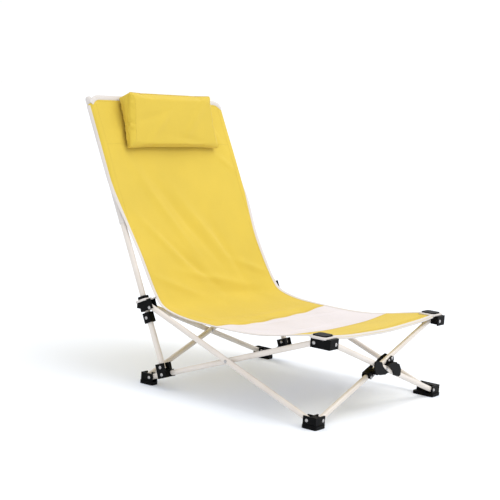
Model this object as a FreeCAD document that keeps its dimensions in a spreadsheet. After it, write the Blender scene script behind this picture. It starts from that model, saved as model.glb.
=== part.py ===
# Folding camp chair: scissor frame of eight crossed tubes, two back posts, a hung fabric sling.
# Frame: +Z up, front of the chair towards -Y. The sizes below are laid out from the middle of
# the square of foot pivots; each finished piece is then moved so that the origin lies on the
# floor under the middle of the whole chair.
# Millimetres. "R" is the sitter's right (-X), "L" the sitter's left (+X).
import FreeCAD, Part
import math
import os

os.makedirs("parts", exist_ok=True)
doc = FreeCAD.newDocument("camp_chair")
Vec, Rot, Pla = FreeCAD.Vector, FreeCAD.Rotation, FreeCAD.Placement

SIZES = [
    # scissor frame: distance between the pivots of one tube, across and up
    ("centre_y", 119.255), ("span", 530), ("rise", 195), ("foot_z", 20), ("tube_rad", 7.5), ("tube_wall", 1),
    ("tube_over", 5), ("half_span", 265),
    # side tubes: distance of their axes from the middle
    ("side_outer_x", 286), ("side_inner_x", 269),
    # crossed tubes at the front and the rear: distance of their planes from the middle
    ("front_inner_y", 281.5), ("front_outer_y", 301.5),
    ("rear_inner_y", 281.5), ("rear_outer_y", 297.5),
    # rivets and their holes
    ("pin_rad", 2.4), ("hole_rad", 2.5), ("head_rad", 4.6), ("head_top_rad", 2.6),
    ("head_high", 1.7), ("head_gap", 0.1),
    # back posts: axis passes (post_y, post_z), leaning back by post_lean degrees
    ("post_x", 285), ("post_y", 288), ("post_z", 215), ("post_lean", 25.3), ("post_rad", 8),
    ("post_wall", 1.2), ("post_top", 598), ("post_pivot_along", -171.64), ("post_pivot_up", 20),
    ("link_along", 61), ("clamp_near", 38), ("clamp_far", 53),
    # moulded pieces
    ("cheek", 3.5), ("plate", 4), ("gap", 0.5), ("pad_high", 9), ("foot_high", 31),
    ("corner_low", 203), ("corner_top", 229), ("corner_roof", 225), ("corner_front", 313),
    ("cap_low", 231.2), ("cap_high", 236), ("corner_z", 215),
    ("slider_half", 14), ("slider_bore", 8.1), ("collar_top", -19), ("collar_low", -47),
    # fabric
    ("cloth", 1.2), ("panel_x", 266), ("edge_x", 272), ("back_x", 276), ("sleeve_rad", 9.7),
    ("sleeve_bore", 8.4), ("sleeve_low", 234), ("sleeve_high", 602),
    # pillow, in the plane of the posts
    ("pillow_x", 196), ("pillow_low", 440), ("pillow_high", 602), ("pillow_back", 14),
    ("pillow_front", 64), ("pillow_thin", 28), ("pillow_skin", 1.5),
]

# seat line from the back post to the front edge (y, z): lower back, seat, front edge
BACK_LINE = [(378, 429), (322, 335), (270, 254)]
LOWER_LINE = [(270, 253), (262, 236), (245, 219), (180, 205), (70, 197)]
SEAT_REAR_LINE = [(69.5, 197), (30, 195), (-12, 195)]
SEAT_FRONT_LINE = [(-12.5, 195), (-100, 200), (-139.5, 208)]
FRONT_LINE = [(-140, 208.1), (-236, 225.5), (-251, 230.1), (-298, 230.1)]

sheet = doc.addObject("Spreadsheet::Sheet", "Sheet")
for line, (alias, number) in enumerate(SIZES, 1):
    sheet.set("A%d" % line, alias)
    sheet.set("B%d" % line, str(number))
    sheet.setAlias("B%d" % line, alias)
doc.recompute()

nodes = []


def val(alias):
    return float(sheet.get(alias))


def ex(text):
    """Expression text in which @name stands for a cell of the sheet."""
    return text.replace("@", "Sheet.")


THETA = math.degrees(math.atan2(val("rise"), val("span")))
LEAN = val("post_lean")
SIN, COS = math.sin(math.radians(THETA)), math.cos(math.radians(THETA))


def node(obj, label):
    """Names a finished piece and moves it to the row's origin, the middle of the whole chair."""
    bound = {path.lstrip("."): text for path, text in obj.ExpressionEngine}
    obj.setExpression("Placement.Base.y",
                      "(%s) - Sheet.centre_y" % bound.get("Placement.Base.y", "0"))
    obj.Label = label
    nodes.append(obj)
    return obj


def sided(s, low, high):
    """Bounds in x of something that reaches from low to high on side s of the middle."""
    return (low, high) if s > 0 else ("-(%s)" % high, "-(%s)" % low)


def block(x, y, z):
    box = doc.addObject("Part::Box", "block")
    for prop, axis, (low, high) in zip(("Length", "Width", "Height"), "xyz", (x, y, z)):
        box.setExpression(prop, ex("(%s) - (%s)" % (high, low)))
        box.setExpression("Placement.Base." + axis, ex(low))
    return box


def turned(axis):
    """Rotation that lays a local Z axis along the named axis."""
    if axis == "X":
        return Rot(Vec(0, 1, 0), 90)
    if axis == "Y":
        return Rot(Vec(1, 0, 0), -90)
    return Rot()


def base_at(obj, axis, at, low):
    place = {"X": (low, at[0], at[1]), "Y": (at[0], low, at[1]), "Z": (at[0], at[1], low)}[axis]
    obj.Placement = Pla(Vec(), turned(axis))
    for name, text in zip("xyz", place):
        obj.setExpression("Placement.Base." + name, ex(text))


def rod(axis, at, low, high, radius):
    """Cylinder along an axis from low to high; at holds its other two coordinates."""
    cyl = doc.addObject("Part::Cylinder", "rod")
    cyl.setExpression("Radius", ex(radius))
    cyl.setExpression("Height", ex("(%s) - (%s)" % (high, low)))
    base_at(cyl, axis, at, low)
    return cyl


def head(axis, at, low, top_first):
    cone = doc.addObject("Part::Cone", "head")
    small, large = ("Radius1", "Radius2") if top_first else ("Radius2", "Radius1")
    cone.setExpression(small, ex("@head_top_rad"))
    cone.setExpression(large, ex("@head_rad"))
    cone.setExpression("Height", ex("@head_high"))
    base_at(cone, axis, at, low)
    return cone


def fuse(parts):
    if len(parts) == 1:
        return parts[0]
    union = doc.addObject("Part::MultiFuse", "union")
    union.Shapes = parts
    return union


def cut(base, tools):
    rest = doc.addObject("Part::Cut", "rest")
    rest.Base = base
    rest.Tool = fuse(tools)
    return rest


def rivet(axis, at, low, high, heads=(True, True)):
    """Rivet whose heads sit just outside low and high; a missing head leaves a flush end."""
    low = "(%s) - @head_gap" % low if heads[0] else low
    high = "(%s) + @head_gap" % high if heads[1] else high
    parts = [rod(axis, at, low, high, "@pin_rad")]
    if heads[0]:
        parts.append(head(axis, at, "(%s) - @head_high" % low, True))
    if heads[1]:
        parts.append(head(axis, at, high, False))
    return fuse(parts)


def side_rivet(s, at, low, high, heads=(True, True)):
    """Rivet along X on side s, between distances low and high from the middle."""
    first, last = sided(s, low, high)
    return rivet("X", at, first, last, heads if s > 0 else heads[::-1])


def rivets(label, solids):
    group = doc.addObject("Part::Compound", "rivets")
    group.Links = solids
    return node(group, label)


def place(obj, at, rotation):
    """World placement of a piece built round its own origin; at holds three expressions."""
    obj.Placement = Pla(Vec(), rotation)
    for name, text in zip("xyz", at):
        obj.setExpression("Placement.Base." + name, ex(text))
    return obj


def round_uprights(box, radius):
    """Rounds the four upright edges of a block."""
    doc.recompute()
    edges = []
    for number, edge in enumerate(box.Shape.Edges, 1):
        a, b = edge.Vertexes[0].Point, edge.Vertexes[-1].Point
        if abs(a.x - b.x) < 1e-6 and abs(a.y - b.y) < 1e-6:
            edges.append((number, radius, radius))
    fillet = doc.addObject("Part::Fillet", "rounded")
    fillet.Base = box
    fillet.Edges = edges
    return fillet


# ---------------------------------------------------------------- sketched pieces

def outline(body, role, points, offset):
    """Closed straight-sided outline on a plane of the body, moved along its normal."""
    sketch = body.newObject("Sketcher::SketchObject", "outline")
    plane = [f for f in body.Origin.OriginFeatures if f.Role == role][0]
    sketch.AttachmentSupport = [(plane, "")]
    sketch.MapMode = "FlatFace"
    sketch.setExpression("AttachmentOffset.Base.z", ex(offset))
    count = len(points)
    for i in range(count):
        a, b = points[i], points[(i + 1) % count]
        sketch.addGeometry(Part.LineSegment(Vec(a[0], a[1], 0), Vec(b[0], b[1], 0)), False)
    import Sketcher
    for i in range(count):
        sketch.addConstraint(Sketcher.Constraint("Coincident", i, 2, (i + 1) % count, 1))
    return sketch


def pad(body, role, points, offset, length):
    feature = body.newObject("PartDesign::Pad", "pad")
    feature.Profile = outline(body, role, points, offset)
    feature.setExpression("Length", ex(length))
    return feature


def band(path, low_x, high_x):
    """Strip of cloth that follows a path in the YZ plane, between two x values."""
    half = val("cloth") / 2.0
    upper, lower = [], []
    for i, (y, z) in enumerate(path):
        before, after = path[max(i - 1, 0)], path[min(i + 1, len(path) - 1)]
        dy, dz = after[0] - before[0], after[1] - before[1]
        size = math.hypot(dy, dz)
        ny, nz = -dz / size * half, dy / size * half
        upper.append((y + ny, z + nz))
        lower.append((y - ny, z - nz))
    body = doc.addObject("PartDesign::Body", "band")
    pad(body, "YZ_Plane", upper + lower[::-1], low_x, "(%s) - (%s)" % (high_x, low_x))
    return body


# ---------------------------------------------------------------- tubes and posts

def tube(label, start, axis, lean, more_holes=()):
    """Tube with cross holes at its three pivots; local Z runs from the foot to the top pivot."""
    length = "sqrt(@span^2 + @rise^2)"
    outer = rod("Z", ("0", "0"), "-@tube_over", length + " + @tube_over", "@tube_rad")
    tools = [rod("Z", ("0", "0"), "-@tube_over - 1", length + " + @tube_over + 1",
                 "@tube_rad - @tube_wall")]
    for along in ("0", length + " / 2", length) + tuple(more_holes):
        tools.append(rod(axis, ("0", along), "-@tube_rad - 1", "@tube_rad + 1", "@hole_rad"))
    turn = Rot(Vec(1, 0, 0), lean) if axis == "X" else Rot(Vec(0, 1, 0), lean)
    return node(place(cut(outer, tools), start, turn), label)


def side_tubes(s, side):
    rear_y, front_y = "@half_span", "-@half_span"
    outer_x = "@side_outer_x" if s > 0 else "-@side_outer_x"
    inner_x = "@side_inner_x" if s > 0 else "-@side_inner_x"
    tube("side_tube_outer_" + side, (outer_x, front_y, "@foot_z"), "X", THETA - 90)
    tube("side_tube_inner_" + side, (inner_x, rear_y, "@foot_z"), "X", 90 - THETA,
         ["@link_along"])


def cross_tubes():
    left, right = "@half_span", "-@half_span"
    clamped = ["sqrt(@span^2 + @rise^2) / 2 %s @%s" % (sign, alias)
               for sign in "+-" for alias in ("clamp_near", "clamp_far")]
    tube("front_tube_inner", (right, "-@front_inner_y", "@foot_z"), "Y", 90 - THETA, clamped)
    tube("front_tube_outer", (left, "-@front_outer_y", "@foot_z"), "Y", THETA - 90)
    tube("rear_tube_inner", (right, "@rear_inner_y", "@foot_z"), "Y", 90 - THETA)
    tube("rear_tube_outer", (left, "@rear_outer_y", "@foot_z"), "Y", THETA - 90)


def on_post(obj, s):
    """Places a piece built round the post's reference point; local Z runs up the post."""
    post_x = "@post_x" if s > 0 else "-@post_x"
    return place(obj, (post_x, "@post_y", "@post_z"), Rot(Vec(1, 0, 0), -LEAN))


def post(s, side):
    low = "@post_pivot_along - @tube_over"
    outer = rod("Z", ("0", "0"), low, "@post_top", "@post_rad")
    bore = rod("Z", ("0", "0"), low + " - 1", "@post_top + 1", "@post_rad - @post_wall")
    holes = [rod("X", ("0", along), "-@post_rad - 1", "@post_rad + 1", "@hole_rad")
             for along in ("@post_pivot_along", "(@collar_top + @collar_low) / 2")]
    node(on_post(cut(outer, [bore] + holes), s), "back_post_" + side)


def collar(s, side):
    """Stop that the slider rests on; riveted to the post."""
    body = block(("-12", "12"), ("-12", "12"), ("@collar_low", "@collar_top"))
    bore = rod("Z", ("0", "0"), "@collar_low - 1", "@collar_top + 1", "@post_rad")
    hole = rod("X", ("0", "(@collar_top + @collar_low) / 2"), "-13", "13", "@hole_rad")
    node(on_post(cut(round_uprights(body, 4), [bore, hole]), s), "stop_collar_" + side)
    pin = rivet("X", ("0", "(@collar_top + @collar_low) / 2"), "-12", "12")
    node(on_post(pin, s), "stop_collar_rivet_" + side)


def link_to_post(s, side):
    """Clevis clamped round the inner side tube; the lower end of the post turns in it."""
    inner = ("-10.5", "8") if s > 0 else ("-8", "10.5")
    ear = ("-3", "7.5") if s > 0 else ("-7.5", "3")
    web = ("7", "27.6") if s > 0 else ("-27.6", "-7")
    cheek = ("24.4", "27.6") if s > 0 else ("-27.6", "-24.4")
    lengthwise = ("-15", "15")
    parts = [block(inner, lengthwise, ("-9.5", "9.5")), block(ear, lengthwise, ("8", "30")),
             block(web, lengthwise, ("-9.5", "10.3")), block(cheek, lengthwise, ("-9.5", "30"))]
    tools = [rod("Y", ("0", "0"), "-20", "20", "@tube_rad"),
             rod("X", ("0", "0"), "-30", "30", "@hole_rad"),
             rod("X", ("0", "@post_pivot_up"), "-30", "30", "@hole_rad")]
    at_y = "@half_span - @link_along * %.6f" % COS
    at_z = "@foot_z + @link_along * %.6f" % SIN
    at_x = "@side_inner_x" if s > 0 else "-@side_inner_x"
    where = (at_x, at_y, at_z)
    turn = Rot(Vec(1, 0, 0), -THETA)
    node(place(cut(fuse(parts), tools), where, turn), "post_clevis_" + side)
    return where, turn


# ---------------------------------------------------------------- moulded feet and corners

def foot(label, s, f, side_x, cross_y, inner_plate):
    """Foot that holds a side tube in two cheeks and a crossed tube against an end plate."""
    def along_y(low, high):
        return (low, high) if f > 0 else ("-(%s)" % high, "-(%s)" % low)
    out = side_x + " + 7.5 + @gap"
    far = cross_y + " + 7.5 + 0.4"
    near_z = ("0", "@foot_high")
    pad_block = block(sided(s, "256", side_x + " + 14"), along_y("252", cross_y + " + 14"),
                      ("0", "@pad_high"))
    parts = [round_uprights(pad_block, 5)]
    parts.append(block(sided(s, out, out + " + @cheek"), along_y("254", far + " + @plate"), near_z))
    inner_reach = "274.5" if side_x == "@side_outer_x" else "273.4"
    parts.append(block(sided(s, side_x + " - 8 - @cheek", side_x + " - 8"),
                       along_y("254", inner_reach), near_z))
    parts.append(block(sided(s, "257", out + " + @cheek"), along_y(far, far + " + @plate"), near_z))
    if side_x == "@side_outer_x":
        parts.append(block(sided(s, "274.5", out + " + 1"), along_y("274.5", far + " + 1"), near_z))
    if inner_plate:
        reach = "275.5" if side_x == "@side_outer_x" else out + " + 1"
        parts.append(block(sided(s, "257", reach), along_y(cross_y + " - 8 - @cheek",
                                                           cross_y + " - 8"), near_z))
    side_hole = sided(s, "250", "305")
    cross_hole = along_y("260", "320")
    tools = [rod("X", ("%d * @half_span" % f, "@foot_z"), side_hole[0], side_hole[1], "@hole_rad"),
             rod("Y", ("%d * @half_span" % s, "@foot_z"), cross_hole[0], cross_hole[1],
                 "@hole_rad")]
    node(cut(fuse(parts), tools), label)


def corner(label, s, cross_y, boss):
    """Front corner: cheeks for the inner side tube, plate for the end of a front tube."""
    def front(low, high):
        return ("-(%s)" % high, "-(%s)" % low)
    high_z = ("@corner_low", "@corner_top")
    roof = block(sided(s, "253", "294"), front("254", "@corner_front"),
                 ("@corner_roof", "@corner_top"))
    parts = [round_uprights(roof, 4),
             block(sided(s, "277", "293"), front("255", "@corner_front - 1"), high_z),
             block(sided(s, "257.5", "261"), front("255", "273.4"), high_z),
             block(sided(s, "254", "292"), front("@corner_front - 3.6", "@corner_front - 0.5"),
                   high_z)]
    if boss:
        parts.append(block(sided(s, "255", "278"), front("289.4", "311"), ("206", "226")))
    else:
        parts.append(block(sided(s, "254", "279"), front("274.5", "293.5"), high_z))
    side_hole = sided(s, "250", "300")
    tools = [rod("X", ("-@half_span", "@corner_z"), side_hole[0], side_hole[1], "@hole_rad"),
             rod("Y", ("%d * @half_span" % s, "@corner_z"), "-320",
                 "-289" if boss else "-288", "@hole_rad")]
    node(cut(fuse(parts), tools), label)


def corner_cap(s, side):
    top = block(sided(s, "253", "293"), ("-297", "-257"), ("@cap_low", "@cap_high"))
    node(round_uprights(top, 9), "corner_cap_" + side)


def slider(s, side, ear_low, ear_high):
    """Block that slides on the post; its slot takes the top of the outer side tube."""
    body = block(("-11", "13") if s > 0 else ("-13", "11"), ("-31", "12.5"),
                 ("-@slider_half", "@slider_half"))
    slot = block(("-6.9", "8.9") if s > 0 else ("-8.9", "6.9"), ("-40", "-11.5"), ("-20", "20"))
    hole = rod("X", ("-20.8", "-9.83"), "-20", "20", "@hole_rad")
    shell = on_post(cut(round_uprights(body, 3), [slot, hole]), s)
    link = block(sided(s, "276", "296"), ("291", ear_high), ("206", "221.5"))
    ear = block(sided(s, "253", "279"), (ear_low, ear_high), ("206", "221.5"))
    ear_hole = rod("Y", ("%d * @half_span" % s, "@corner_z"), ear_low + " - 1", ear_high + " + 1",
                   "@hole_rad")
    bore = on_post(rod("Z", ("0", "0"), "-40", "40", "@slider_bore"), s)
    bore.setExpression("Placement.Base.y", ex("@post_y - 40 * %.6f" % math.sin(math.radians(LEAN))))
    bore.setExpression("Placement.Base.z", ex("@post_z - 40 * %.6f" % math.cos(math.radians(LEAN))))
    bore.setExpression("Height", ex("80"))
    node(cut(fuse([shell, link, ear]), [bore, ear_hole]), "slider_" + side)
    slider_heads(s, side, ear_low, ear_high)
    # inward they stop short of the sweep of the rear tube's end, and at the back above the link
    for name, low, high, outward, inward, rear in (
            ("slider_tab_", "14.2", "16.2", "15.6", "11.6", "12.6"),
            ("slider_cap_", "16.4", "27", "13", "10.6", "12")):
        wide = ("-" + inward, outward) if s > 0 else ("-" + outward, inward)
        disc = block(wide, ("-12.5", rear), (low, high))
        inner = rod("Z", ("0", "0"), low + " - 1", high + " + 1", "@slider_bore")
        node(on_post(cut(round_uprights(disc, 5), [inner]), s), name + side)


def slider_heads(s, side, ear_low, ear_high):
    """Rivet heads of the slider's two pivots, each with a short shank in its own wall."""
    low, high = math.sin(math.radians(LEAN)), math.cos(math.radians(LEAN))
    at_y = "@post_y - 20.8 * %.6f - 9.83 * %.6f" % (high, low)
    at_z = "@post_z + 20.8 * %.6f - 9.83 * %.6f" % (low, high)
    solids = [side_rivet(s, (at_y, at_z), "294.2", "298", (False, True)),
              side_rivet(s, (at_y, at_z), "274", "277.8", (True, False)),
              rivet("Y", ("%d * @half_span" % s, "@corner_z"), ear_low + " + 0.3", ear_high,
                    (False, True))]
    rivets("slider_rivets_" + side, solids)


# ---------------------------------------------------------------- front crossing

def on_front_tube(x, z):
    """Turns a point given level and upright from the crossing into the tube's own axes."""
    return (x * COS + z * SIN, -x * SIN + z * COS)


def hub_bracket(label, half_turn):
    """Bracket clamped on the inner front tube that guides the outer tube at the crossing."""
    body = doc.addObject("PartDesign::Body", "bracket")
    arm = [(-5, 9.5), (12, 13.6), (39, 11.5), (58, 5), (69, -10), (68, -26), (59, -29),
           (34, -22), (27, -10), (12, 1.5)]
    back = [(12, -12), (58, -12), (62, -6), (62, 4), (56, 9), (38, 10.5), (14, 10.5), (10, 6)]
    tongue = [(28, -15), (56, -15), (62, -8), (62, 0), (55, 6.2), (44, 4), (33, 3.4), (27, -3)]
    pad(body, "XY_Plane", back, "270", "3.9")
    pad(body, "XY_Plane", [(30, -12), (58, -12), (60, -7.6), (30, -7.6)], "272", "20")
    pad(body, "XY_Plane", tongue, "289.2", "4.2")
    pad(body, "XY_Plane", [(33, -15), (47, -15), (49, -6.5), (33, -6.5)], "291", "20")
    pad(body, "XY_Plane", [on_front_tube(x, z) for x, z in arm], "309.5", "3.5")
    doc.recompute()
    holes = [rod("Z", (along, "0"), "260", "320", "@hole_rad")
             for along in ("@clamp_near", "@clamp_far")]
    turn = Rot(Vec(1, 0, 0), 90).multiply(Rot(Vec(0, 0, 1), THETA + half_turn))
    bracket = cut(body, holes)
    node(place(bracket, ("0", "0", "@foot_z + @rise / 2"), turn), label)


def front_crossing():
    hub_bracket("front_hub_bracket_upper", 0)
    hub_bracket("front_hub_bracket_lower", 180)
    middle = "@foot_z + @rise / 2"
    outer = rod("Y", ("0", middle), "-293.9", "-289.1", "6.5")
    inner = rod("Y", ("0", middle), "-295", "-288", "@hole_rad")
    node(cut(outer, [inner]), "front_hub_bush")
    solids = [rivet("Y", ("0", middle), "-309", "-274"),
              rivet("Y", ("-@half_span", "@foot_z"), "-293.4", "-270"),
              rivet("Y", ("@half_span", "@corner_z"), "-312.5", "-274.2", (True, False))]
    for along in (val("clamp_near"), val("clamp_far")):
        for sign in (1, -1):
            at = ("%.4f" % (sign * along * COS), middle + " + %.4f" % (sign * along * SIN))
            solids.append(rivet("Y", at, "-293.4", "-270"))
    rivets("front_tube_inner_rivets", solids)


def other_rivets():
    middle = "@foot_z + @rise / 2"
    for s, side in ((-1, "R"), (1, "L")):
        rivets("side_tube_outer_rivets_" + side,
               [side_rivet(s, ("-@half_span", "@foot_z"), "274.5", "297.5"),
                side_rivet(s, ("0", middle), "261.5", "293.5")])
        at_y = "@half_span - @link_along * %.6f" % COS
        at_z = "@foot_z + @link_along * %.6f" % SIN
        up_y = at_y + " + @post_pivot_up * %.6f" % SIN
        up_z = at_z + " + @post_pivot_up * %.6f" % COS
        rivets("side_tube_inner_rivets_" + side,
               [side_rivet(s, ("@half_span", "@foot_z"), "257.5", "280.5"),
                side_rivet(s, ("-@half_span", "@corner_z"), "257.5", "293"),
                side_rivet(s, (at_y, at_z), "258.5", "296.6"),
                side_rivet(s, (up_y, up_z), "266", "296.6")])
        washer = rod("X", ("0", middle), *sided(s, "276.6", "278.4"), "6.5")
        bore = rod("X", ("0", middle), *sided(s, "275", "280"), "@hole_rad")
        node(cut(washer, [bore]), "side_washer_" + side)
    rivets("front_tube_outer_rivets",
           [rivet("Y", ("@half_span", "@foot_z"), "-313.4", "-290"),
            rivet("Y", ("-@half_span", "@corner_z"), "-312.5", "-290.5", (True, False))])
    rivets("rear_tube_inner_rivets",
           [rivet("Y", ("-@half_span", "@foot_z"), "274.2", "293.4", (False, True)),
            rivet("Y", ("0", middle), "274", "305")])
    rivets("rear_tube_outer_rivets", [rivet("Y", ("@half_span", "@foot_z"), "286", "309.4")])


# ---------------------------------------------------------------- fabric and pillow

def back_line():
    """Path of the back panel: along the front of the posts, then down to the slider."""
    lean = math.radians(LEAN)
    along, forward = (math.sin(lean), math.cos(lean)), (-math.cos(lean), math.sin(lean))
    points = []
    for up in (591, 400, 260):
        points.append((val("post_y") + up * along[0] + 11.1 * forward[0],
                       val("post_z") + up * along[1] + 11.1 * forward[1]))
    return points + BACK_LINE[1:]


def panels():
    node(band(back_line(), "-@back_x", "@back_x"), "back_panel")
    for label, path in (("back_panel_lower", LOWER_LINE), ("seat_panel_rear", SEAT_REAR_LINE),
                        ("seat_panel_front", SEAT_FRONT_LINE), ("front_panel", FRONT_LINE)):
        node(band(path, "-@panel_x", "@panel_x"), label)


def bindings(s, side):
    low, high = sided(s, "@panel_x + 0.2", "@edge_x")
    node(band(LOWER_LINE + SEAT_REAR_LINE[1:], low, high), "edge_binding_rear_" + side)
    strip = band(SEAT_FRONT_LINE + FRONT_LINE[1:], low, high)
    trim = block(sided(s, "@edge_x - 1", "295"), ("-298", "-256"), ("229.4", "230.9"))
    node(fuse([strip, trim]), "edge_binding_front_" + side)


def sleeve(s, side):
    outer = rod("Z", ("0", "0"), "@sleeve_low", "@sleeve_high", "@sleeve_rad")
    bore = rod("Z", ("0", "0"), "@sleeve_low - 1", "@sleeve_high - 1.6", "@sleeve_bore")
    node(on_post(cut(outer, [bore]), s), "post_sleeve_" + side)


def top_binding():
    tape = block(("-@back_x", "@back_x"), ("-12.8", "-9.8"), ("592", "602"))
    at = ("0", "@post_y", "@post_z")
    node(place(round_long(tape), at, Rot(Vec(1, 0, 0), -LEAN)), "top_binding")


def round_long(box):
    """Rounds the four edges of a block that run along X."""
    doc.recompute()
    edges = []
    for number, edge in enumerate(box.Shape.Edges, 1):
        a, b = edge.Vertexes[0].Point, edge.Vertexes[-1].Point
        if abs(a.y - b.y) < 1e-6 and abs(a.z - b.z) < 1e-6:
            edges.append((number, 1.2, 1.2))
    fillet = doc.addObject("Part::Fillet", "rounded")
    fillet.Base = box
    fillet.Edges = edges
    return fillet


def wedge(scale, half_x):
    """Pillow outline across its width, thin below and thick above, scaled about its middle."""
    back, front = val("pillow_back"), val("pillow_front")
    low, high, thin = val("pillow_low"), val("pillow_high"), val("pillow_thin")
    outline_points = [(back, low + 5), (back + 4, low), (thin - 4, low), (thin, low + 5),
                      (front, high - 16), (front - 2, high - 5), (front - 10, high),
                      (back + 6, high), (back, high - 6)]
    mid_v = sum(p[0] for p in outline_points) / len(outline_points)
    mid_u = sum(p[1] for p in outline_points) / len(outline_points)
    scaled = [(-(mid_v + (v - mid_v) * scale), mid_u + (u - mid_u) * scale)
              for v, u in outline_points]
    body = doc.addObject("PartDesign::Body", "wedge")
    pad(body, "YZ_Plane", scaled, "-(%s)" % half_x, "2 * (%s)" % half_x)
    return body


def pillow():
    at, turn = ("0", "@post_y", "@post_z"), Rot(Vec(1, 0, 0), -LEAN)
    cover = cut(wedge(1.0, "@pillow_x"), [wedge(0.94, "@pillow_x - @pillow_skin")])
    node(place(cover, at, turn), "pillow_cover")
    node(place(wedge(0.92, "@pillow_x - @pillow_skin - 0.4"), at, turn), "pillow_fill")


# ---------------------------------------------------------------- the whole chair

for sign, name in ((-1, "R"), (1, "L")):
    side_tubes(sign, name)
    post(sign, name)
    collar(sign, name)
    link_to_post(sign, name)
    corner_cap(sign, name)
    bindings(sign, name)
    sleeve(sign, name)
cross_tubes()
foot("foot_front_R", -1, -1, "@side_outer_x", "@front_inner_y", True)
foot("foot_front_L", 1, -1, "@side_outer_x", "@front_outer_y", True)
foot("foot_rear_R", -1, 1, "@side_inner_x", "@rear_inner_y", False)
foot("foot_rear_L", 1, 1, "@side_inner_x", "@rear_outer_y", True)
corner("corner_bracket_R", -1, "@front_outer_y", False)
corner("corner_bracket_L", 1, "@front_inner_y", True)
slider(-1, "R", "305.4", "310")
slider(1, "L", "291.4", "296")
front_crossing()
other_rivets()
panels()
top_binding()
pillow()

doc.recompute()
problems = []
for obj in doc.Objects:
    if "Invalid" in obj.State or "Error" in obj.State:
        problems.append("%s (%s) is in state %s" % (obj.Name, obj.Label, obj.State))
for obj in nodes:
    if obj.Shape.isNull() or not obj.Shape.isValid() or not obj.Shape.Solids:
        problems.append("%s has no valid solid" % obj.Label)
if problems:
    raise RuntimeError("; ".join(problems))
for obj in nodes:
    obj.Shape.exportStep("parts/%s.step" % obj.Label)
print("%d nodes written" % len(nodes))
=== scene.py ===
# Looks of the folding camp chair: powder-coated tubes, black mouldings, a stitched cloth sling
# and a head pillow.
import bpy, bmesh, math
import numpy as np
from mathutils import Matrix, Vector
from mathutils.bvhtree import BVHTree


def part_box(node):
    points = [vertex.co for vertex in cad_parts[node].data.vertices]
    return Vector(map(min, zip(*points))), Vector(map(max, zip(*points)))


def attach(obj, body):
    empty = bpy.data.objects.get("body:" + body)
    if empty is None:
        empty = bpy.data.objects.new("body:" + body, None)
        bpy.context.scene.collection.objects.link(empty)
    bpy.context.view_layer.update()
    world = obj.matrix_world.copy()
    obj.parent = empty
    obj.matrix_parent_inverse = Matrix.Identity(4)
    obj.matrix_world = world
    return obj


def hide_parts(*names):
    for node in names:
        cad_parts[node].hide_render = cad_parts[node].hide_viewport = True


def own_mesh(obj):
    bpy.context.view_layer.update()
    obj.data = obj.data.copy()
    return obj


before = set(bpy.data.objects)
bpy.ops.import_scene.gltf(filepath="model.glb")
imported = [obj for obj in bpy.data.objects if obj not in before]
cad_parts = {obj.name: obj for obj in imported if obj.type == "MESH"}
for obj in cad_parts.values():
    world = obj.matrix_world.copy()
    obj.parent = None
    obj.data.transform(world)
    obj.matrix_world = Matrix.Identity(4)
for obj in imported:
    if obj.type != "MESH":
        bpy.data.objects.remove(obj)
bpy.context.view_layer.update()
scene = bpy.context.scene
scene.view_settings.view_transform = "Standard"

CENTRE_Y = 0.119255                             # middle of the foot pivots to the frame's origin
POST_X, POST_Y, POST_Z = 0.285, 0.288 - CENTRE_Y, 0.215
LEAN = math.radians(25.3)
UP = np.array([0.0, math.sin(LEAN), math.cos(LEAN)])
FORWARD = np.array([0.0, -math.cos(LEAN), math.sin(LEAN)])
POST_AT = np.array([0.0, POST_Y, POST_Z])
CLOTH = 0.0013
WRAP = 0.0108                                   # radius of the cloth where it goes round a post
THREAD_HALF = 0.00045                           # half the width of a sewing thread


# ------------------------------------------------------------------ camera, floor, light

def camera():
    az, el, roll = math.radians(-53.77), math.radians(7.52), math.radians(4.17)
    back = Vector((math.sin(az) * math.cos(el), -math.cos(az) * math.cos(el), math.sin(el)))
    across = Vector((0, 0, 1)).cross(back).normalized()
    high = back.cross(across)
    right = math.cos(roll) * across + math.sin(roll) * high
    up = -math.sin(roll) * across + math.cos(roll) * high
    data = bpy.data.cameras.new("camera")
    data.lens, data.sensor_width, data.clip_end = 90.7, 36.0, 60.0
    cam = bpy.data.objects.new("camera", data)
    scene.collection.objects.link(cam)
    turn = Matrix((right, up, back)).transposed().to_4x4()
    cam.matrix_world = Matrix.Translation((-2.8312, -1.9122 - CENTRE_Y, 0.8301)) @ turn
    scene.camera = cam


def area_light(name, at, target, size, power, colour):
    data = bpy.data.lights.new(name, "AREA")
    data.shape, data.size, data.energy, data.color = "DISK", size, power, colour
    lamp = bpy.data.objects.new(name, data)
    scene.collection.objects.link(lamp)
    lamp.location = at
    lamp.rotation_euler = (Vector(target) - Vector(at)).to_track_quat("-Z", "Y").to_euler()


def sun_light(name, at, power, spread):
    data = bpy.data.lights.new(name, "SUN")
    data.energy, data.angle = power, math.radians(spread)
    lamp = bpy.data.objects.new(name, data)
    scene.collection.objects.link(lamp)
    lamp.location = at
    lamp.rotation_euler = (-Vector(at)).to_track_quat("-Z", "Y").to_euler()


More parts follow.
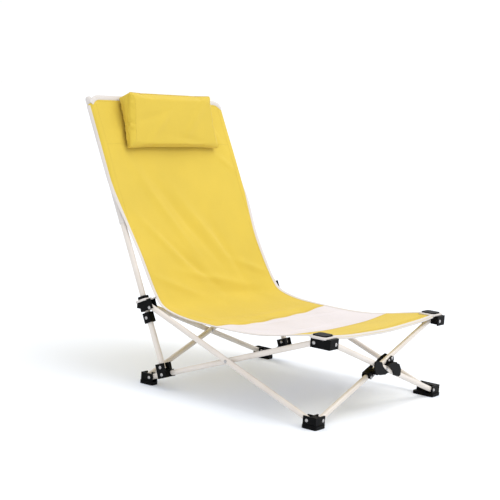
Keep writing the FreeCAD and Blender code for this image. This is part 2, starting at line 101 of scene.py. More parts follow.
def studio():
    world = bpy.data.worlds.new("studio")
    world.use_nodes = True
    world.node_tree.nodes["Background"].inputs["Color"].default_value = (1.0, 1.0, 1.0, 1)
    world.node_tree.nodes["Background"].inputs["Strength"].default_value = 1.02
    scene.world = world
    sun_light("sun", (0.7, -1.2, 3.2), 0.95, 48)
    area_light("key", (1.4, -2.2, 3.0), (0, 0, 0.3), 1.2, 20, (1.0, 0.99, 0.97))
    area_light("fill", (-3.0, -2.0, 2.4), (0, 0, 0.3), 2.6, 4, (0.95, 0.98, 1.0))
    area_light("rim", (0.5, 3.2, 2.6), (0, 0, 0.3), 2.2, 6, (1.0, 1.0, 1.0))
    mesh = bpy.data.meshes.new("floor")
    mesh.from_pydata([(-40, -40, 0), (40, -40, 0), (40, 40, 0), (-40, 40, 0)], [], [(0, 1, 2, 3)])
    floor = bpy.data.objects.new("floor", mesh)
    scene.collection.objects.link(floor)
    paper = plain("floor_paper", (0.82, 0.832, 0.845), 0.9)
    shader = paper.node_tree.nodes["Principled BSDF"]
    shader.inputs["Emission Color"].default_value = (0.36, 0.56, 0.95, 1)
    shader.inputs["Emission Strength"].default_value = 0.13
    mesh.materials.append(paper)


# ------------------------------------------------------------------ materials

def new_material(name):
    material = bpy.data.materials.new(name)
    material.use_nodes = True
    tree = material.node_tree
    return material, tree, tree.nodes["Principled BSDF"]


def add(tree, kind, **inputs):
    made = tree.nodes.new(kind)
    for key, value in inputs.items():
        made.inputs[key.replace("_", " ")].default_value = value
    return made


def ramp(tree, source, low, high, start=0.3, stop=0.7):
    made = tree.nodes.new("ShaderNodeValToRGB")
    made.color_ramp.elements[0].color = (*low, 1)
    made.color_ramp.elements[1].color = (*high, 1)
    made.color_ramp.elements[0].position = start
    made.color_ramp.elements[1].position = stop
    tree.links.new(source, made.inputs[0])
    return made


def bump(tree, shader, height, strength, distance):
    made = add(tree, "ShaderNodeBump", Strength=strength, Distance=distance)
    tree.links.new(height, made.inputs["Height"])
    tree.links.new(made.outputs[0], shader.inputs["Normal"])
    return made


def shade(colour, factor):
    return tuple(min(1.0, c * factor) for c in colour)


def plain(name, colour, rough):
    material, tree, shader = new_material(name)
    noise = add(tree, "ShaderNodeTexNoise", Scale=2.0, Detail=2.0)
    tint = ramp(tree, noise.outputs[0], shade(colour, 0.99), shade(colour, 1.01))
    tree.links.new(tint.outputs[0], shader.inputs["Base Color"])
    shader.inputs["Roughness"].default_value = rough
    return material


def paint():
    """Powder coat: fine orange peel, a little uneven, faint grime in random patches."""
    material, tree, shader = new_material("cream_powder_coat")
    where = tree.nodes.new("ShaderNodeTexCoord")
    grime = add(tree, "ShaderNodeTexNoise", Scale=9.0, Detail=6.0, Roughness=0.6)
    peel = add(tree, "ShaderNodeTexNoise", Scale=900.0, Detail=2.0)
    for made in (grime, peel):
        tree.links.new(where.outputs["Object"], made.inputs["Vector"])
    tint = ramp(tree, grime.outputs[0], (0.62, 0.56, 0.50), (0.71, 0.655, 0.60), 0.25, 0.6)
    tree.links.new(tint.outputs[0], shader.inputs["Base Color"])
    gloss = add(tree, "ShaderNodeMapRange", To_Min=0.30, To_Max=0.42)
    tree.links.new(grime.outputs[0], gloss.inputs["Value"])
    tree.links.new(gloss.outputs[0], shader.inputs["Roughness"])
    shader.inputs["Coat Weight"].default_value = 0.25
    shader.inputs["Coat Roughness"].default_value = 0.2
    bump(tree, shader, peel.outputs[0], 0.12, 0.0003)
    return material


def moulding():
    """Black moulded plastic with a spark-eroded grain and paler rubbed patches."""
    material, tree, shader = new_material("black_moulding")
    where = tree.nodes.new("ShaderNodeTexCoord")
    grain = add(tree, "ShaderNodeTexNoise", Scale=1400.0, Detail=3.0)
    rub = add(tree, "ShaderNodeTexNoise", Scale=26.0, Detail=5.0, Roughness=0.65)
    for made in (grain, rub):
        tree.links.new(where.outputs["Object"], made.inputs["Vector"])
    tint = ramp(tree, rub.outputs[0], (0.0018, 0.0018, 0.002), (0.006, 0.006, 0.0065), 0.4, 0.8)
    tree.links.new(tint.outputs[0], shader.inputs["Base Color"])
    gloss = add(tree, "ShaderNodeMapRange", To_Min=0.38, To_Max=0.6)
    tree.links.new(rub.outputs[0], gloss.inputs["Value"])
    tree.links.new(gloss.outputs[0], shader.inputs["Roughness"])
    shader.inputs["Specular IOR Level"].default_value = 0.07
    bump(tree, shader, grain.outputs[0], 0.25, 0.0004)
    return material


def metal():
    material, tree, shader = new_material("bright_rivet")
    where = tree.nodes.new("ShaderNodeTexCoord")
    scratch = add(tree, "ShaderNodeTexNoise", Scale=600.0, Detail=4.0)
    tree.links.new(where.outputs["Object"], scratch.inputs["Vector"])
    tint = ramp(tree, scratch.outputs[0], (0.34, 0.33, 0.33), (0.50, 0.49, 0.49))
    tree.links.new(tint.outputs[0], shader.inputs["Base Color"])
    gloss = add(tree, "ShaderNodeMapRange", To_Min=0.32, To_Max=0.5)
    tree.links.new(scratch.outputs[0], gloss.inputs["Value"])
    tree.links.new(gloss.outputs[0], shader.inputs["Roughness"])
    shader.inputs["Metallic"].default_value = 1.0
    bump(tree, shader, scratch.outputs[0], 0.08, 0.0002)
    return material


def cloth(name, colour, coords, period=0.0011, depth=0.0003, sheen=0.08, soft=0.97):
    """Plain weave of two crossed sets of threads, slubs, and a slow change of tone."""
    material, tree, shader = new_material(name)
    where = tree.nodes.new("ShaderNodeTexCoord")
    spots = add(tree, "ShaderNodeTexNoise", Scale=7.0, Detail=5.0, Roughness=0.55)
    slub = add(tree, "ShaderNodeTexNoise", Scale=420.0, Detail=2.0)
    tree.links.new(where.outputs["Object"], spots.inputs["Vector"])
    tree.links.new(where.outputs["Object"], slub.inputs["Vector"])
    threads = []
    directions = ("X", "Y") if coords == "UV" else ("X", "Z")
    for direction in directions:
        wave = add(tree, "ShaderNodeTexWave", Scale=2 * math.pi / (20 * period), Distortion=0.4)
        wave.bands_direction = direction
        tree.links.new(where.outputs[coords], wave.inputs["Vector"])
        threads.append(wave)
    both = tree.nodes.new("ShaderNodeMath")
    both.operation = "MAXIMUM"
    tree.links.new(threads[0].outputs["Fac"], both.inputs[0])
    tree.links.new(threads[1].outputs["Fac"], both.inputs[1])
    mixed = tree.nodes.new("ShaderNodeMath")
    mixed.operation = "ADD"
    tree.links.new(both.outputs[0], mixed.inputs[0])
    tree.links.new(slub.outputs[0], mixed.inputs[1])
    tone = ramp(tree, spots.outputs[0], shade(colour, soft - 0.03), shade(colour, 1.02))
    yarn = ramp(tree, mixed.outputs[0], (0.90, 0.90, 0.90), (1.0, 1.0, 1.0), 0.3, 1.0)
    blend = tree.nodes.new("ShaderNodeMix")
    blend.data_type, blend.blend_type = "RGBA", "MULTIPLY"
    blend.inputs[0].default_value = 1.0
    tree.links.new(tone.outputs[0], blend.inputs[6])
    tree.links.new(yarn.outputs[0], blend.inputs[7])
    tree.links.new(blend.outputs[2], shader.inputs["Base Color"])
    rough = add(tree, "ShaderNodeMapRange", To_Min=0.74, To_Max=0.9)
    tree.links.new(slub.outputs[0], rough.inputs["Value"])
    tree.links.new(rough.outputs[0], shader.inputs["Roughness"])
    shader.inputs["Sheen Weight"].default_value = sheen
    shader.inputs["Sheen Roughness"].default_value = 0.5
    bump(tree, shader, mixed.outputs[0], 0.35, depth)
    return material


YELLOW, WHITE, TAPE = (0.65, 0.472, 0.046), (0.685, 0.64, 0.66), (0.64, 0.60, 0.57)
MAT = {
    "paint": paint(), "black": moulding(), "metal": metal(),
    "nylon": plain("nylon_washer", (0.75, 0.74, 0.7), 0.45),
    "yellow": cloth("yellow_weave", YELLOW, "UV"),
    "white": cloth("white_weave", WHITE, "UV", soft=0.99),
    "tape": cloth("ribbed_tape", TAPE, "Object", 0.0016, 0.0004),
    "pillow": cloth("pillow_weave", YELLOW, "Object"),
    "thread": cloth("yellow_thread", shade(YELLOW, 0.78), "Object", 0.0007),
    "pale_thread": cloth("pale_thread", shade(WHITE, 0.86), "Object", 0.0007),
}


# ------------------------------------------------------------------ mesh tools

def mesh_object(name, points, faces, material, uv=None):
    mesh = bpy.data.meshes.new(name)
    mesh.from_pydata([tuple(map(float, p)) for p in points], [], faces)
    mesh.materials.append(material)
    if uv is not None:
        layer = mesh.uv_layers.new(name="weave")
        for loop in mesh.loops:
            layer.data[loop.index].uv = uv[loop.vertex_index]
    for face in mesh.polygons:
        face.use_smooth = True
    mesh.validate()
    mesh.set_sharp_from_angle(angle=math.radians(50))
    made = bpy.data.objects.new(name, mesh)
    scene.collection.objects.link(made)
    return made


def two_sided(name, grid, uv, material, thick=CLOTH):
    """Cloth of a given thickness from a grid of mid-surface points."""
    rows, cols = grid.shape[:2]
    along, across = np.gradient(grid, axis=0), np.gradient(grid, axis=1)
    normal = np.cross(across, along)
    normal /= np.linalg.norm(normal, axis=2, keepdims=True)
    if normal[rows // 2, cols // 2, 2] < 0:
        normal = -normal
    upper = (grid + normal * thick / 2).reshape(-1, 3)
    lower = (grid - normal * thick / 2).reshape(-1, 3)
    count, faces = rows * cols, []
    for i in range(rows - 1):
        for j in range(cols - 1):
            a, b, c, d = i * cols + j, i * cols + j + 1, (i + 1) * cols + j + 1, (i + 1) * cols + j
            faces.append((a, b, c, d))
            faces.append((d + count, c + count, b + count, a + count))
    rim = ([(0, j) for j in range(cols)] + [(i, cols - 1) for i in range(1, rows)]
           + [(rows - 1, j) for j in range(cols - 2, -1, -1)]
           + [(i, 0) for i in range(rows - 2, 0, -1)])
    loop = [i * cols + j for i, j in rim]
    for k, a in enumerate(loop):
        b = loop[(k + 1) % len(loop)]
        faces.append((b, a, a + count, b + count))
    flat_uv = [tuple(p) for p in uv.reshape(-1, 2)]
    made = mesh_object(name, np.vstack([upper, lower]), faces, material, flat_uv + flat_uv)
    return outward(made)


def outward(made):
    work = bmesh.new()
    work.from_mesh(made.data)
    bmesh.ops.recalc_face_normals(work, faces=work.faces)
    work.to_mesh(made.data)
    work.free()
    return made


def sweep(name, line, half_wide, half_thick, material, wide_dirs, sides=12, close=False):
    """Flattened cord along a line: an oval section whose long axis follows wide_dirs."""
    line = np.asarray(line, float)
    tangent = np.gradient(line, axis=0)
    tangent /= np.linalg.norm(tangent, axis=1, keepdims=True)
    points, faces = [], []
    for p, t, w in zip(line, tangent, wide_dirs):
        w = w - np.dot(w, t) * t
        w /= np.linalg.norm(w)
        thin = np.cross(t, w)
        for m in range(sides):
            angle = 2 * math.pi * m / sides
            points.append(p + w * half_wide * math.cos(angle) + thin * half_thick * math.sin(angle))
    rings = len(line)
    for k in range(rings if close else rings - 1):
        n = (k + 1) % rings
        for m in range(sides):
            o = (m + 1) % sides
            faces.append((k * sides + m, k * sides + o, n * sides + o, n * sides + m))
    if not close:
        faces.append(tuple(range(sides - 1, -1, -1)))
        faces.append(tuple((rings - 1) * sides + m for m in range(sides)))
    return outward(mesh_object(name, points, faces, material))


def settle(piece, body, nodes=(), squash=True):
    """Hides the CAD nodes it replaces and rides a finished piece on its body; with squash it gets a
    mesh of its own.
    """
    if nodes:
        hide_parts(*nodes)
    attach(piece, body)
    if squash:
        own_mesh(piece)
    return piece


# ------------------------------------------------------------------ the sling's surface

def on_back(up, forward):
    """(y, z) from the middle of the foot pivots of a point on the back."""
    p = POST_AT + UP * up + FORWARD * forward
    return (p[1] + CENTRE_Y, p[2])


LINE = [on_back(0.6, WRAP), on_back(0.5, WRAP), on_back(0.4, WRAP), on_back(0.32, WRAP),
        on_back(0.26, WRAP), (0.3535, 0.388), (0.321, 0.333), (0.292, 0.285), (0.268, 0.2495),
        (0.243, 0.2225), (0.205, 0.2085), (0.15, 0.200), (0.07, 0.1965), (-0.01, 0.1955),
        (-0.08, 0.199), (-0.14, 0.208), (-0.20, 0.2195), (-0.256, 0.2297), (-0.298, 0.2303)]


def dense_line(points, per=24):
    points = [np.array(p) for p in points]
    points = [2 * points[0] - points[1]] + points + [2 * points[-1] - points[-2]]
    out = []
    for a, b, c, d in zip(points, points[1:], points[2:], points[3:]):
        for k in range(per):
            t = k / per
            out.append(0.5 * (2 * b + (c - a) * t + (2 * a - 5 * b + 4 * c - d) * t * t
                              + (3 * b - a - 3 * c + d) * t ** 3))
    return np.array(out + [points[-2]])


TRACK = dense_line(LINE) - np.array([CENTRE_Y, 0])
RUN = np.concatenate([[0], np.cumsum(np.linalg.norm(np.diff(TRACK, axis=0), axis=1))])
LENGTH = RUN[-1]


def run_at_y(y):
    """Distance along the sling to a y measured from the middle of the foot pivots."""
    return float(np.interp(CENTRE_Y - y, -TRACK[:, 0], RUN))


def smooth(value, low, high):
    t = np.clip((value - low) / (high - low), 0, 1)
    return t * t * (3 - 2 * t)


S_POST, S_SLIDER = run_at_y(on_back(0.232, WRAP)[0]), run_at_y(0.270)
S_SEAM, S_MID, S_FRONT = run_at_y(0.070), run_at_y(-0.012), run_at_y(-0.140)


def half_width(s):
    return 0.2715 + 0.0275 * (1 - smooth(s, S_POST - 0.14, S_POST + 0.12))


def ridge(s, c, s0, c0, angle, wide, long, high):
    """One soft crease of the cloth: a long bell-shaped fold at an angle."""
    ca, sa = math.cos(angle), math.sin(angle)
    u, v = (s - s0) * ca + (c - c0) * sa, -(s - s0) * sa + (c - c0) * ca
    return high * np.exp(-(v / wide) ** 2 - (u / long) ** 2)


CREASE_DEPTH = 2.0
CREASES = [(0.34, -0.10, 0.55, 0.016, 0.16, 0.0022), (0.37, -0.02, 0.62, 0.014, 0.15, -0.0020),
           (0.40, 0.05, 0.6, 0.018, 0.13, 0.0026), (0.44, -0.14, 0.75, 0.014, 0.12, 0.0022),
           (0.47, 0.12, 0.35, 0.016, 0.12, -0.0018), (0.50, -0.05, 0.8, 0.013, 0.10, -0.0022),
           (0.53, 0.20, 1.15, 0.012, 0.07, 0.0022), (0.56, -0.16, 1.2, 0.012, 0.09, 0.002),
           (0.55, 0.02, 1.35, 0.012, 0.12, 0.0026), (0.60, 0.10, 1.45, 0.014, 0.12, -0.0022),
           (0.10, 0.22, 0.5, 0.010, 0.05, 0.0014), (0.13, -0.22, -0.6, 0.010, 0.05, 0.0014),
           (0.05, -0.23, -0.5, 0.008, 0.04, 0.0012), (0.20, 0.24, 0.9, 0.010, 0.05, 0.0014),
           (0.70, -0.20, 0.6, 0.013, 0.08, 0.0022), (0.74, 0.05, 1.5, 0.016, 0.14, 0.0018),
           (0.80, -0.08, 1.35, 0.012, 0.12, -0.0018), (0.83, 0.15, 1.2, 0.012, 0.09, 0.0018),
           (0.88, -0.2, 0.9, 0.012, 0.06, 0.0018), (0.93, 0.0, 1.57, 0.012, 0.16, 0.0012)]


def sling(s, c):
    """Point of the sling's middle surface at run s and c metres across from the middle."""
    y, z = np.interp(s, RUN, TRACK[:, 0]), np.interp(s, RUN, TRACK[:, 1])
    ahead, behind = np.minimum(s + 0.004, LENGTH), np.maximum(s - 0.004, 0)
    dy = np.interp(ahead, RUN, TRACK[:, 0]) - np.interp(behind, RUN, TRACK[:, 0])
    dz = np.interp(ahead, RUN, TRACK[:, 1]) - np.interp(behind, RUN, TRACK[:, 1])
    size = np.hypot(dy, dz)
    ny, nz = dz / size, -dy / size
    half = half_width(s)
    a = np.abs(c) / half
    hollow = (0.002 + 0.009 * smooth(s, 0.02, 0.30) + 0.006 * smooth(s, 0.30, 0.60)
              - 0.004 * smooth(s, 0.66, 0.9))
    off = -hollow * (1 - a ** 2.2)
    edge = np.clip((1 - a) * 14, 0, 1)
    for s0, c0, angle, wide, long, high in CREASES:
        off = off + ridge(s, c, s0, c0, angle, wide, long, high * CREASE_DEPTH) * edge
    off = off + 0.0008 * np.sin(s * 31 + c * 9) * np.sin(c * 23 + 1.3) * edge
    for seam in (S_SEAM, S_FRONT):
        off = off + 0.0007 * np.exp(-((s - seam - 0.006) / 0.005) ** 2) * edge
    off = off + 0.0013 * np.sin(c * 60 + 0.7) * np.exp(-((s - S_SEAM) / 0.05) ** 2) * edge
    turn = np.clip((np.abs(c) - POST_X) / WRAP, 0, 1.4)
    x = np.where(np.abs(c) > POST_X, POST_X + WRAP * np.sin(turn), np.abs(c)) * np.sign(c)
    off = off + np.where(np.abs(c) > POST_X, WRAP * (np.cos(turn) - 1), 0)
    return np.stack([x + 0 * s, y + ny * off, z + nz * off], axis=-1)


def top_edge(c):
    """How far the top corners of the back are rounded off, c metres across."""
    return 0.020 * np.clip((np.abs(c) - 0.252) / 0.04, 0, 1) ** 2.2


def panel(name, start, stop, material, rows, cols=73):
    t = np.linspace(0, 1, rows)[:, None]
    s = start + (stop - start) * t + np.zeros((1, cols))
    c = np.linspace(-1, 1, cols)[None, :] * half_width(s)
    if start == 0:
        s = s + top_edge(c) * (1 - t) ** 4
    return two_sided(name, sling(s, c), np.stack([c, s], axis=-1), material)


def stitches(name, rows, material, body, gap=0.0046, long=0.0028):
    """Rows of short thread dashes lying on the cloth; each row is a line of (s, c) points."""
    points, faces = [], []
    for (s0, c0), (s1, c1) in rows:
        count = int(math.hypot(s1 - s0, c1 - c0) / gap)
        ts = (np.arange(count) + 0.5) / count
        s, c = s0 + (s1 - s0) * ts, c0 + (c1 - c0) * ts
        half = 0.5 * long / math.hypot(s1 - s0, c1 - c0)
        heads = sling(s - (s1 - s0) * half, c - (c1 - c0) * half)
        tails = sling(s + (s1 - s0) * half, c + (c1 - c0) * half)
        side = sling(s + (c1 - c0) * half, c - (s1 - s0) * half) - sling(s, c)
        for a, b, w in zip(heads, tails, side):
            t = (b - a) / np.linalg.norm(b - a)
            w = w / np.linalg.norm(w) * THREAD_HALF
            n = np.cross(t, w)
            n = n / np.linalg.norm(n)
            n = n if n[2] > 0 else -n
            base = n * (CLOTH / 2)
            k = len(points)
            m = (a + b) / 2
            points += [a + base - w, a + base + w, b + base + w, b + base - w,
                       m + base - w + n * 0.0006, m + base + w + n * 0.0006]
            faces += [(k, k + 1, k + 5, k + 4), (k + 4, k + 5, k + 2, k + 3),
                      (k, k + 4, k + 3), (k + 1, k + 2, k + 5), (k, k + 3, k + 2, k + 1)]
    made = outward(mesh_object(name, points, faces, material))
    return settle(made, body)


def edge_tape(name, sign, start, stop, body, nodes=(), thick=0.0019):
    s = np.linspace(start, stop, max(12, int((stop - start) / 0.008)))
    line = sling(s, sign * (half_width(s) - 0.0005))
    inner = sling(s, sign * (half_width(s) - 0.012))
    made = sweep(name, line, 0.0062, thick, MAT["tape"], inner - line, 14)
    return settle(made, body, nodes)


def make_sling():
    pieces = [
        ("sling_back", 0.0, S_SLIDER, "yellow", 120, "back_post_R", "back_panel", "yellow_cloth"),
        ("sling_lower_back", S_SLIDER, S_SEAM, "yellow", 60, "sling_rear", "back_panel_lower",
         "yellow_cloth"),
        ("sling_seat_rear", S_SEAM, S_MID, "white", 26, "sling_rear", "seat_panel_rear",
         "white_cloth"),
        ("sling_seat_front", S_MID, S_FRONT, "white", 34, "sling_front", "seat_panel_front",
         "white_cloth"),
        ("sling_front_edge", S_FRONT, LENGTH, "yellow", 44, "sling_front", "front_panel",
         "yellow_cloth"),
    ]
    for name, start, stop, stuff, rows, body, cad, slot in pieces:
        obj = panel(name, start, stop, MAT[stuff], rows)
        settle(obj, body, [cad])
    e = 0.262
    thread = {
        "sling_back": stitches("stitching_back", [
            ((0.012, -0.275), (0.012, 0.275)), ((0.138, -0.27), (0.138, 0.27)),
            ((0.02, -0.272), (S_POST, -0.272)), ((0.02, 0.272), (S_POST, 0.272)),
            ((S_POST + 0.02, -e), (S_SLIDER, -e)), ((S_POST + 0.02, e), (S_SLIDER, e))],
            MAT["thread"], "back_post_R"),
        "sling_lower_back": stitches("stitching_lower_back", [
            ((S_SEAM - 0.004, -e), (S_SEAM - 0.004, e)),
            ((S_SEAM - 0.010, -e), (S_SEAM - 0.010, e)),
            ((S_SLIDER, -e), (S_SEAM, -e)), ((S_SLIDER, e), (S_SEAM, e))],
            MAT["thread"], "sling_rear"),
        "sling_seat_front": stitches("stitching_seat", [
            ((S_FRONT - 0.004, -e), (S_FRONT - 0.004, e)), ((S_MID, -e), (S_FRONT, -e)),
            ((S_MID, e), (S_FRONT, e))], MAT["pale_thread"], "sling_front"),
        "sling_front_edge": stitches("stitching_front", [
            ((S_FRONT + 0.005, -e), (S_FRONT + 0.005, e)),
            ((LENGTH - 0.02, -0.24), (LENGTH - 0.02, 0.24)),
            ((LENGTH - 0.026, -0.24), (LENGTH - 0.026, 0.24))], MAT["thread"], "sling_front"),
    }
    tapes = {"sling_back": [], "sling_lower_back": [], "sling_front_edge": []}
    for sign, side in ((-1, "R"), (1, "L")):
        tapes["sling_back"].append(
            edge_tape("tape_back_" + side, sign, 0.024, S_SLIDER, "back_post_R", thick=0.0016))
        tapes["sling_lower_back"].append(
            edge_tape("tape_rear_" + side, sign, S_SLIDER, S_MID, "sling_rear",
                      ["edge_binding_rear_" + side]))
        tapes["sling_front_edge"].append(
            edge_tape("tape_front_" + side, sign, S_MID, LENGTH - 0.006, "sling_front",
                      ["edge_binding_front_" + side]))
    c = np.linspace(-0.250, 0.250, 60)
    hem = sling(np.full(60, LENGTH - 0.002), c)
    tapes["sling_front_edge"].append(settle(
        sweep("front_hem", hem, 0.0055, 0.0019, MAT["tape"], [np.array([0, 0.45, 0.9])] * 60, 14),
        "sling_front"))
    c = np.linspace(-0.290, 0.290, 90)
    top = sling(0.001 + top_edge(c), c)
    tapes["sling_back"].append(settle(
        sweep("top_tape", top, 0.0075, 0.0024, MAT["tape"], [UP] * 90, 14), "back_post_R",
        ["top_binding"]))


def turned_piece(name, rings, axis_at, material, sides=28):
    """Round closed piece round the post direction; rings are (distance up, radius)."""
    points, faces = [], []
    for up, radius in rings:
        for m in range(sides):
            angle = 2 * math.pi * m / sides
            points.append(axis_at + UP * up + FORWARD * radius * math.cos(angle)
                          + np.array([radius * math.sin(angle), 0, 0]))
    for k in range(len(rings) - 1):
        for m in range(sides):
            o = (m + 1) % sides
            faces.append((k * sides + m, k * sides + o, (k + 1) * sides + o, (k + 1) * sides + m))
    faces += [tuple(range(sides)), tuple(range((len(rings) - 1) * sides, len(rings) * sides))]
    return outward(mesh_object(name, points, faces, material))


def make_sleeves():
    """White pockets over the posts, with a turned hem at the foot and a domed closed top."""
    for sign, side in ((-1, "R"), (1, "L")):
        at = POST_AT + np.array([sign * POST_X, 0, 0])
        rings = [(0.2345, 0.0084), (0.234, 0.0092), (0.236, 0.0096), (0.242, 0.0096),
                 (0.244, 0.0092)]
        rings += [(0.26 + 0.012 * k, 0.0092 + 0.00015 * math.sin(2.1 * k + sign))
                  for k in range(27)]
        rings += [(0.590, 0.0095), (0.597, 0.0093), (0.601, 0.0080), (0.6035, 0.0052),
                  (0.6045, 0.002)]
        made = turned_piece("sleeve_" + side, rings, at, MAT["tape"])
        settle(made, "back_post_" + side, ["post_sleeve_" + side], squash=False)


def rounded_pad(name, centre, right, front, normal, size, radius, thick, material):
    """Soft-edged flat pad: a rounded rectangle whose rim bulges."""
    layers = [(-0.5, -0.0012), (-0.42, 0.0), (0.42, 0.0), (0.5, -0.0012)]
    steps, points, faces = 8, [], []
    for height, grow in layers:
        for k, (sx, sy) in enumerate(((1, 1), (-1, 1), (-1, -1), (1, -1))):
            for m in range(steps):
                angle = math.pi / 2 * (k + m / (steps - 1))
                px = sx * (size[0] / 2 - radius) + (radius + grow) * math.cos(angle)
                py = sy * (size[1] / 2 - radius) + (radius + grow) * math.sin(angle)
                points.append(centre + right * px + front * py + normal * height * thick)
    ring = 4 * steps
    for k in range(len(layers) - 1):
        for m in range(ring):
            o = (m + 1) % ring
            faces.append((k * ring + m, k * ring + o, (k + 1) * ring + o, (k + 1) * ring + m))
    faces += [tuple(range(ring)), tuple(range(3 * ring, 4 * ring))]
    return outward(mesh_object(name, points, faces, material))


def piping(name, centre, right, front, half, radius, thick):
    """Rolled cloth edge along a rounded rectangle."""
    line = []
    for k, (sx, sy) in enumerate(((1, 1), (-1, 1), (-1, -1), (1, -1))):
        for m in range(8):
            angle = math.pi / 2 * (k + m / 7)
            line.append(centre + right * (sx * (half[0] - radius) + radius * math.cos(angle))
                        + front * (sy * (half[1] - radius) + radius * math.sin(angle)))
    line = [p for p, q in zip(line, line[1:] + line[:1]) if np.linalg.norm(p - q) > 1e-5]
    return sweep(name, line, thick, thick, MAT["tape"], [np.cross(right, front)] * len(line),
                 12, True)


def make_small_cloth():
    right = np.array([1.0, 0, 0])
    for sign, side in ((-1, "R"), (1, "L")):
        low, high = (np.array(v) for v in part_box("corner_cap_" + side))
        centre = (low + high) / 2
        centre[2] = 0.2301
        trim = rounded_pad("corner_trim_" + side, centre, right, np.array([0, 1.0, 0]),
                           np.array([0, 0, 1.0]), (0.045, 0.045), 0.010, 0.0020, MAT["tape"])
        settle(trim, "corner_" + side, squash=False)
        round_cap = piping("corner_piping_" + side, centre, right, np.array([0, 1.0, 0]),
                           (0.0240, 0.0240), 0.010, 0.0037)
        settle(round_cap, "corner_" + side, squash=False)
        at = POST_AT + np.array([sign * POST_X, 0, 0])
        tab_at = at + UP * 0.0152 + right * sign * 0.0020
        tab = rounded_pad("tab_" + side, tab_at, right, FORWARD, UP, (0.0300, 0.0290), 0.008,
                          0.0021, MAT["tape"])
        settle(tab, "slider_" + side, ["slider_tab_" + side], squash=False)
        rim = piping("tab_piping_" + side, tab_at, right, FORWARD, (0.0166, 0.0165), 0.008,
                     0.0032)
        settle(rim, "slider_" + side, squash=False)
        start = at + UP * 0.0152 + FORWARD * 0.0145 - right * sign * 0.004
        end = sling(np.array(S_SLIDER + 0.012), np.array(sign * 0.268))
        ts = np.linspace(0, 1, 12)[:, None]
        line = start * (1 - ts) + end * ts
        line[:, 2] -= 0.002 * np.sin(ts[:, 0] * math.pi)
        strap = sweep("tab_strap_" + side, line, 0.0090, 0.0024, MAT["tape"], [right] * 12, 12)
        settle(strap, "slider_" + side, squash=False)


# ------------------------------------------------------------------ pillow

PILLOW_X, PILLOW_LOW, PILLOW_HIGH = 0.196, 0.440, 0.602
PILLOW_BACK, PILLOW_THIN, PILLOW_FRONT = 0.0135, 0.028, 0.067
PILLOW_MIDDLE = (PILLOW_LOW + PILLOW_HIGH) / 2
PILLOW_FLARE = 0.055                            # how much wider the bottom is than the middle


def pillow_point(x, up, forward):
    return Vector((x, 0, 0)) + Vector(POST_AT + UP * up + FORWARD * forward)


def pillow_shell():
    """Rounded box slightly smaller than the pillow, which the cloth simulation then fills."""
    work = bmesh.new()
    bmesh.ops.create_cube(work, size=1.0)
    bmesh.ops.subdivide_edges(work, edges=work.edges, cuts=9, use_grid_fill=True)
    inset = 0.004
    for vert in work.verts:
        p = vert.co * 2
        bulge = 1 - 0.04 * (abs(p.x) ** 4 + abs(p.z) ** 4) / 2
        up = PILLOW_MIDDLE + p.z * ((PILLOW_HIGH - PILLOW_LOW) / 2 - inset)
        face = PILLOW_THIN + (PILLOW_FRONT - PILLOW_THIN) * (p.z + 1) / 2
        out = (PILLOW_BACK + face) / 2 + p.y * bulge * ((face - PILLOW_BACK) / 2 - inset / 2)
        vert.co = pillow_point(p.x * (PILLOW_X - inset) * (1 - PILLOW_FLARE * p.z), up, out)
    mesh = bpy.data.meshes.new("head_pillow")
    work.to_mesh(mesh)
    work.free()
    mesh.materials.append(MAT["pillow"])
    made = bpy.data.objects.new("head_pillow", mesh)
    scene.collection.objects.link(made)
    return outward(made)


def apply_all(obj):
    graph = bpy.context.evaluated_depsgraph_get()
    mesh = bpy.data.meshes.new_from_object(obj.evaluated_get(graph))
    obj.modifiers.clear()
    obj.data = mesh


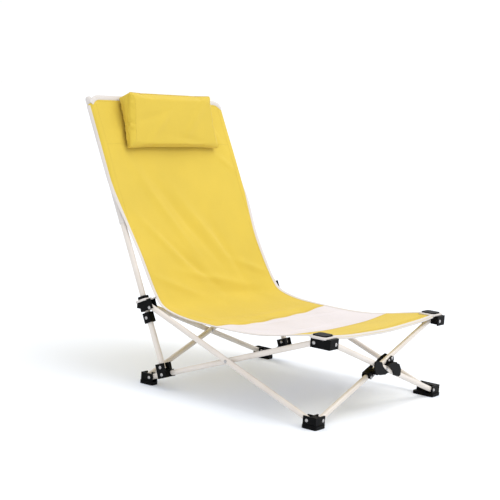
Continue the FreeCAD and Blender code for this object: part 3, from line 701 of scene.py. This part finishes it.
def puff(obj):
    """Fills the pillow: remesh, cloth with inner pressure, movement capped."""
    remesh = obj.modifiers.new("remesh", "REMESH")
    remesh.mode, remesh.voxel_size = "VOXEL", 0.0042
    relax = obj.modifiers.new("relax", "SMOOTH")
    relax.factor, relax.iterations = 0.5, 3
    apply_all(obj)
    rest = np.array([v.co for v in obj.data.vertices])
    soft = obj.modifiers.new("fill", "CLOTH")
    soft.settings.use_pressure = True
    soft.settings.uniform_pressure_force = 2.2
    soft.settings.effector_weights.gravity = 0.0
    soft.settings.quality = 6
    soft.settings.tension_stiffness = 12
    soft.settings.bending_stiffness = 0.3
    for step in range(1, 21):
        scene.frame_set(step)
    apply_all(obj)
    scene.frame_set(1)
    now = np.array([v.co for v in obj.data.vertices])
    move = now - rest
    far = np.linalg.norm(move, axis=1, keepdims=True)
    now = rest + move * np.minimum(1, 0.006 / np.maximum(far, 1e-9))
    rel = now - POST_AT
    up, out = rel @ UP, rel @ FORWARD
    x, high = now[:, 0], up - PILLOW_MIDDLE
    creases = (
        0.0026 * np.exp(-((x + 0.05 - high * 1.1) / 0.016) ** 2 - ((high + 0.02) / 0.05) ** 2)
        - 0.0022 * np.exp(-((high - 0.03 - x * 0.22) / 0.011) ** 2 - ((x + 0.10) / 0.08) ** 2)
        + 0.0024 * np.exp(-((x - 0.09 - high * 0.9) / 0.018) ** 2 - (high / 0.06) ** 2)
        - 0.0018 * np.exp(-((high + 0.045 + x * 0.15) / 0.010) ** 2 - ((x - 0.06) / 0.09) ** 2))
    lift = (up - PILLOW_LOW) / (PILLOW_HIGH - PILLOW_LOW)
    face = PILLOW_THIN + (PILLOW_FRONT - PILLOW_THIN) * lift
    facing = smooth(out, face - 0.016, face - 0.004)
    now = now + FORWARD[None, :] * (creases * facing)[:, None]
    excess = np.clip(0.0125 - ((now - POST_AT) @ FORWARD), 0, None)
    now = now + FORWARD[None, :] * excess[:, None]
    for vert, p in zip(obj.data.vertices, now):
        vert.co = p
    subdivide = obj.modifiers.new("smooth", "SUBSURF")
    subdivide.levels = subdivide.render_levels = 1
    apply_all(obj)
    for face in obj.data.polygons:
        face.use_smooth = True
    if not obj.data.materials:
        obj.data.materials.append(MAT["pillow"])


def pillow_seams(obj):
    """Piped seams round the face and the back, and a stitched line near each side."""
    tree = BVHTree.FromObject(obj, bpy.context.evaluated_depsgraph_get())
    rings = []
    for share in (0.92, 0.14):
        loop = []
        for k in range(160):
            angle = 2 * math.pi * k / 160
            cx, cy = math.cos(angle), math.sin(angle)
            r = (abs(cx) ** 6 + abs(cy) ** 6) ** (-1 / 6)
            lift = min(1.0, max(0.0, 0.5 + cy * r * 0.5))
            face = PILLOW_THIN + (PILLOW_FRONT - PILLOW_THIN) * lift
            out = PILLOW_BACK + (face - PILLOW_BACK) * share
            target = pillow_point(cx * r * 0.205 * (1 - PILLOW_FLARE * cy * r),
                                  PILLOW_MIDDLE + cy * r * 0.090, out)
            spot, normal, _, _ = tree.find_nearest(target)
            loop.append(np.array(spot + normal * 0.0003))
        rings.append(loop)
    for number, loop in enumerate(rings):
        seam = sweep("pillow_seam_%d" % (number + 1), loop, 0.0013, 0.0010, MAT["pillow"],
                     [FORWARD] * len(loop), 8, True)
        settle(seam, "back_post_R")
    points, faces = [], []
    for column in (-0.178, 0.178):
        for k in range(32):
            ends = []
            for extra in (-0.0015, 0.0015):
                spot, normal, _, _ = tree.find_nearest(
                    pillow_point(column, 0.450 + 0.144 * k / 31 + extra, 0.090))
                ends.append((np.array(spot), np.array(normal)))
            (a, n), (b, _) = ends
            w = np.array([THREAD_HALF, 0, 0])
            m = (a + b) / 2 + n * 0.0007
            i = len(points)
            points += [a - w, a + w, b + w, b - w, m - w, m + w]
            faces += [(i, i + 1, i + 5, i + 4), (i + 4, i + 5, i + 2, i + 3), (i, i + 4, i + 3),
                      (i + 1, i + 2, i + 5), (i, i + 3, i + 2, i + 1)]
    thread = outward(mesh_object("pillow_stitching", points, faces, MAT["thread"]))
    settle(thread, "back_post_R")


def make_pillow():
    pillow = pillow_shell()
    puff(pillow)
    pillow_seams(pillow)
    settle(pillow, "back_post_R", ["pillow_cover", "pillow_fill"])


# ------------------------------------------------------------------ carried-over CAD nodes

def finish_for(name):
    if "rivet" in name:
        return MAT["metal"]
    if "washer" in name or "bush" in name:
        return MAT["nylon"]
    if "tube" in name or name.startswith("back_post"):
        return MAT["paint"]
    return MAT["black"]


def dress_nodes():
    for name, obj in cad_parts.items():
        if obj.hide_render:
            continue
        finish = finish_for(name)
        if not obj.material_slots:
            obj.data.materials.append(finish)
        for place in obj.material_slots:
            place.material = finish
        if finish is MAT["black"]:
            edge = obj.modifiers.new("soft_edges", "BEVEL")
            edge.width, edge.segments, edge.limit_method = 0.0009, 2, "ANGLE"
            edge.angle_limit = math.radians(40)
            edge.harden_normals = False


camera()
studio()
make_sling()
make_sleeves()
make_small_cloth()
make_pillow()
dress_nodes()
